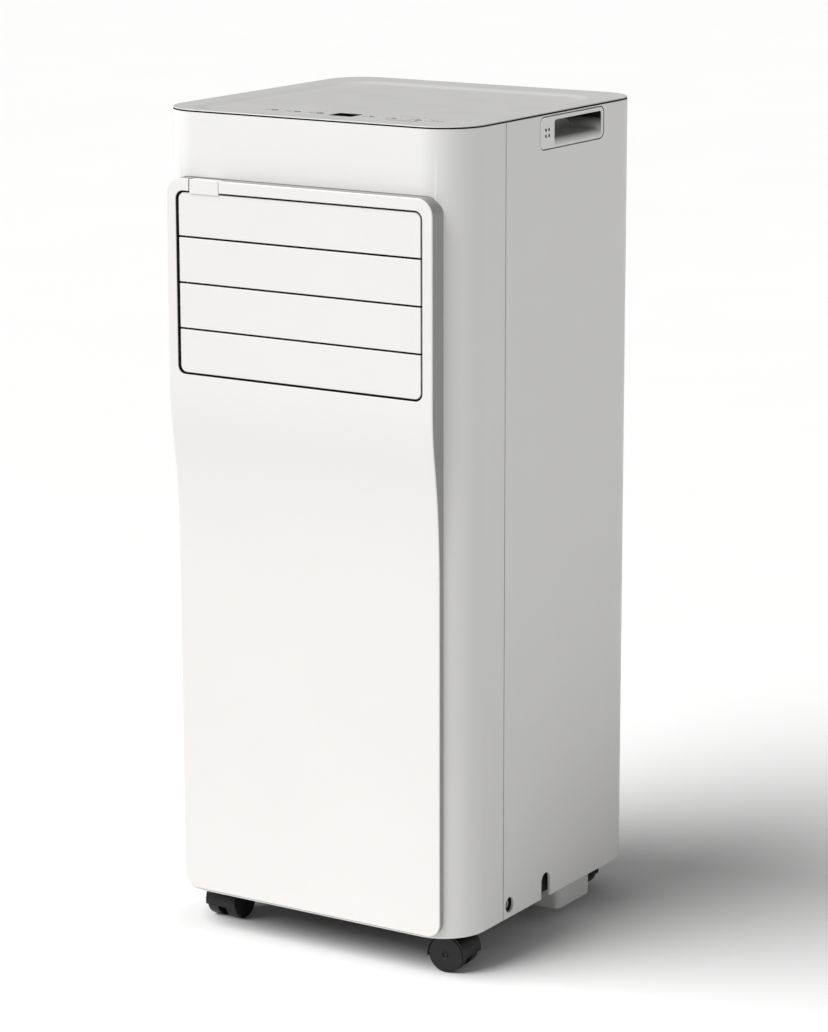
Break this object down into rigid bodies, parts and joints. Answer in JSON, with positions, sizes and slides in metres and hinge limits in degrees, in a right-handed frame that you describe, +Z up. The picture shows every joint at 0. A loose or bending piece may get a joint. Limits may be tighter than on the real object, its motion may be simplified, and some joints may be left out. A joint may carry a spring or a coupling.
{
  "type": "portable air conditioner",
  "caption": "Compact upright portable air conditioner with a swelled front panel, tilting outlet louvers, side hand holds, a rear hose port and twin-wheel casters.",
  "frame": {"origin": "on the floor, under the centre of the body", "axes": "+X to the unit's right side, +Y to its rear, +Z up; the louvers face -Y"},
  "size_m": [0.292, 0.3116, 0.6959],
  "materials": {
    "panel_white": "warm white moulded plastic, fine satin",
    "shell_white": "white moulded plastic, fine spark texture",
    "cover_grey": "pale grey-white moulded plastic, satin",
    "window_black": "smoked display window, gloss",
    "handle_grey": "pale moulded plastic",
    "grille_grey": "pale moulded plastic",
    "tray_grey": "mid grey moulded plastic",
    "caster_black": "black nylon",
    "duct_black": "black moulded plastic",
    "blower_foam": "off-white moulded foam",
    "filter_mesh": "dark nylon mesh",
    "rubber_black": "black rubber",
    "board_green": "green circuit board",
    "motor_steel": "plain steel",
    "compressor_black": "black enamelled steel",
    "coil_aluminium": "aluminium fins",
    "pipe_copper": "copper tube",
    "screw_steel": "zinc plated steel"
  },
  "bodies": {
    "cabinet": {"front_shell": "shell_white", "rear_shell": "shell_white", "front_panel": "panel_white", "top_cover": "cover_grey", "display_window": "window_black", "control_board": "board_green", "handle_right": "handle_grey", "handle_left": "handle_grey", "lower_intake_grille": "grille_grey", "exhaust_collar": "grille_grey", "cord_gland": "rubber_black", "base_pan": "tray_grey", "side_screw_right": "screw_steel", "side_screw_left": "screw_steel", "outlet_duct": "duct_black", "upper_scroll": "blower_foam", "upper_motor": "motor_steel", "lower_scroll": "blower_foam", "lower_motor": "motor_steel", "partition_tray": "blower_foam", "evaporator_coil": "coil_aluminium", "condenser_coil": "coil_aluminium", "compressor": "compressor_black", "discharge_pipe": "pipe_copper", "suction_pipe": "pipe_copper", "liquid_pipe": "pipe_copper", "splash_motor": "motor_steel", "electrical_box": "duct_black", "run_capacitor": "motor_steel"},
    "louver_1": {"louver_1": "panel_white"},
    "louver_2": {"louver_2": "panel_white"},
    "louver_3": {"louver_3": "panel_white"},
    "louver_4": {"louver_4": "panel_white"},
    "louver_link": {"louver_link": "duct_black"},
    "key_power": {"key_power": "cover_grey"},
    "key_mode": {"key_mode": "cover_grey"},
    "key_timer": {"key_timer": "cover_grey"},
    "key_down": {"key_down": "cover_grey"},
    "key_up": {"key_up": "cover_grey"},
    "key_speed": {"key_speed": "cover_grey"},
    "intake_filter": {"upper_intake_grille": "grille_grey", "air_filter": "filter_mesh"},
    "drain_plug_middle": {"drain_plug_middle": "rubber_black"},
    "drain_plug_bottom": {"drain_plug_bottom": "rubber_black"},
    "upper_blower": {"upper_blower_wheel": "duct_black"},
    "lower_blower": {"lower_blower_wheel": "duct_black"},
    "splash_wheel": {"splash_wheel": "duct_black"},
    "caster_front_right": {"caster_fork_front_right": "caster_black"},
    "caster_front_right_wheel_a": {"caster_wheel_front_right_a": "caster_black"},
    "caster_front_right_wheel_b": {"caster_wheel_front_right_b": "caster_black"},
    "caster_front_left": {"caster_fork_front_left": "caster_black"},
    "caster_front_left_wheel_a": {"caster_wheel_front_left_a": "caster_black"},
    "caster_front_left_wheel_b": {"caster_wheel_front_left_b": "caster_black"},
    "caster_rear_right": {"caster_fork_rear_right": "caster_black"},
    "caster_rear_right_wheel_a": {"caster_wheel_rear_right_a": "caster_black"},
    "caster_rear_right_wheel_b": {"caster_wheel_rear_right_b": "caster_black"},
    "caster_rear_left": {"caster_fork_rear_left": "caster_black"},
    "caster_rear_left_wheel_a": {"caster_wheel_rear_left_a": "caster_black"},
    "caster_rear_left_wheel_b": {"caster_wheel_rear_left_b": "caster_black"}
  },
  "joints": [
    {"name": "louver_1_tilt", "type": "hinge", "parent": "cabinet", "child": "louver_1", "pos_m": [0, -0.15, 0.61265], "axis": [1, 0, 0], "range_deg": [0, 70]},
    {"name": "louver_2_tilt", "type": "hinge", "parent": "cabinet", "child": "louver_2", "pos_m": [0, -0.15, 0.57495], "axis": [1, 0, 0], "range_deg": [0, 70]},
    {"name": "louver_3_tilt", "type": "hinge", "parent": "cabinet", "child": "louver_3", "pos_m": [0, -0.15, 0.53725], "axis": [1, 0, 0], "range_deg": [0, 70]},
    {"name": "louver_4_tilt", "type": "hinge", "parent": "cabinet", "child": "louver_4", "pos_m": [0, -0.15, 0.49955], "axis": [1, 0, 0], "range_deg": [0, 70]},
    {"name": "louver_link_pivot", "type": "hinge", "parent": "louver_1", "child": "louver_link", "pos_m": [-0.1226, -0.1448, 0.61265], "axis": [1, 0, 0], "range_deg": [-70, 0]},
    {"name": "key_power_press", "type": "slide", "parent": "cabinet", "child": "key_power", "axis": [0, 0, -1], "range_m": [0, 0.0005], "stiffness_N_per_m": 400},
    {"name": "key_mode_press", "type": "slide", "parent": "cabinet", "child": "key_mode", "axis": [0, 0, -1], "range_m": [0, 0.0005], "stiffness_N_per_m": 400},
    {"name": "key_timer_press", "type": "slide", "parent": "cabinet", "child": "key_timer", "axis": [0, 0, -1], "range_m": [0, 0.0005], "stiffness_N_per_m": 400},
    {"name": "key_down_press", "type": "slide", "parent": "cabinet", "child": "key_down", "axis": [0, 0, -1], "range_m": [0, 0.0005], "stiffness_N_per_m": 400},
    {"name": "key_up_press", "type": "slide", "parent": "cabinet", "child": "key_up", "axis": [0, 0, -1], "range_m": [0, 0.0005], "stiffness_N_per_m": 400},
    {"name": "key_speed_press", "type": "slide", "parent": "cabinet", "child": "key_speed", "axis": [0, 0, -1], "range_m": [0, 0.0005], "stiffness_N_per_m": 400},
    {"name": "intake_filter_tilt", "type": "hinge", "parent": "cabinet", "child": "intake_filter", "pos_m": [0, 0.1426, 0.4065], "axis": [-1, 0, 0], "range_deg": [0, 35]},
    {"name": "drain_plug_middle_pull", "type": "slide", "parent": "cabinet", "child": "drain_plug_middle", "axis": [0, 1, 0], "range_m": [0, 0.012]},
    {"name": "drain_plug_bottom_pull", "type": "slide", "parent": "cabinet", "child": "drain_plug_bottom", "axis": [0, 1, 0], "range_m": [0, 0.012]},
    {"name": "upper_blower_spin", "type": "hinge", "parent": "cabinet", "child": "upper_blower", "pos_m": [-0.012, -0.0791, 0.388], "axis": [0, 1, 0], "continuous": true},
    {"name": "lower_blower_spin", "type": "hinge", "parent": "cabinet", "child": "lower_blower", "pos_m": [0.002, 0.0319, 0.298], "axis": [1, 0, 0], "continuous": true},
    {"name": "splash_wheel_spin", "type": "hinge", "parent": "cabinet", "child": "splash_wheel", "pos_m": [0.092, 0.0499, 0.052], "axis": [0, 1, 0], "continuous": true},
    {"name": "caster_front_right_swivel", "type": "hinge", "parent": "cabinet", "child": "caster_front_right", "pos_m": [0.11, -0.1121, 0.03], "axis": [0, 0, 1], "continuous": true},
    {"name": "caster_front_right_wheel_a_roll", "type": "hinge", "parent": "caster_front_right", "child": "caster_front_right_wheel_a", "pos_m": [0.11998, -0.1114, 0.0155], "axis": [-0.0698, 0.9976, 0], "continuous": true},
    {"name": "caster_front_right_wheel_b_roll", "type": "hinge", "parent": "caster_front_right", "child": "caster_front_right_wheel_b", "pos_m": [0.11998, -0.1114, 0.0155], "axis": [-0.0698, 0.9976, 0], "continuous": true},
    {"name": "caster_front_left_swivel", "type": "hinge", "parent": "cabinet", "child": "caster_front_left", "pos_m": [-0.11, -0.1121, 0.03], "axis": [0, 0, 1], "continuous": true},
    {"name": "caster_front_left_wheel_a_roll", "type": "hinge", "parent": "caster_front_left", "child": "caster_front_left_wheel_a", "pos_m": [-0.11, -0.1021, 0.0155], "axis": [-1, 0, 0], "continuous": true},
    {"name": "caster_front_left_wheel_b_roll", "type": "hinge", "parent": "caster_front_left", "child": "caster_front_left_wheel_b", "pos_m": [-0.11, -0.1021, 0.0155], "axis": [-1, 0, 0], "continuous": true},
    {"name": "caster_rear_right_swivel", "type": "hinge", "parent": "cabinet", "child": "caster_rear_right", "pos_m": [0.11, 0.1169, 0.03], "axis": [0, 0, 1], "continuous": true},
    {"name": "caster_rear_right_wheel_a_roll", "type": "hinge", "parent": "caster_rear_right", "child": "caster_rear_right_wheel_a", "pos_m": [0.10015, 0.11864, 0.0155], "axis": [-0.1736, -0.9848, 0], "continuous": true},
    {"name": "caster_rear_right_wheel_b_roll", "type": "hinge", "parent": "caster_rear_right", "child": "caster_rear_right_wheel_b", "pos_m": [0.10015, 0.11864, 0.0155], "axis": [-0.1736, -0.9848, 0], "continuous": true},
    {"name": "caster_rear_left_swivel", "type": "hinge", "parent": "cabinet", "child": "caster_rear_left", "pos_m": [-0.11, 0.1169, 0.03], "axis": [0, 0, 1], "continuous": true},
    {"name": "caster_rear_left_wheel_a_roll", "type": "hinge", "parent": "caster_rear_left", "child": "caster_rear_left_wheel_a", "pos_m": [-0.11906, 0.11267, 0.0155], "axis": [0.4226, -0.9063, 0], "continuous": true},
    {"name": "caster_rear_left_wheel_b_roll", "type": "hinge", "parent": "caster_rear_left", "child": "caster_rear_left_wheel_b", "pos_m": [-0.11906, 0.11267, 0.0155], "axis": [0.4226, -0.9063, 0], "continuous": true}
  ],
  "couplings": [
    {"joint": "louver_2_tilt", "follows": "louver_1_tilt", "ratio": 1},
    {"joint": "louver_3_tilt", "follows": "louver_1_tilt", "ratio": 1},
    {"joint": "louver_4_tilt", "follows": "louver_1_tilt", "ratio": 1},
    {"joint": "louver_link_pivot", "follows": "louver_1_tilt", "ratio": -1}
  ]
}
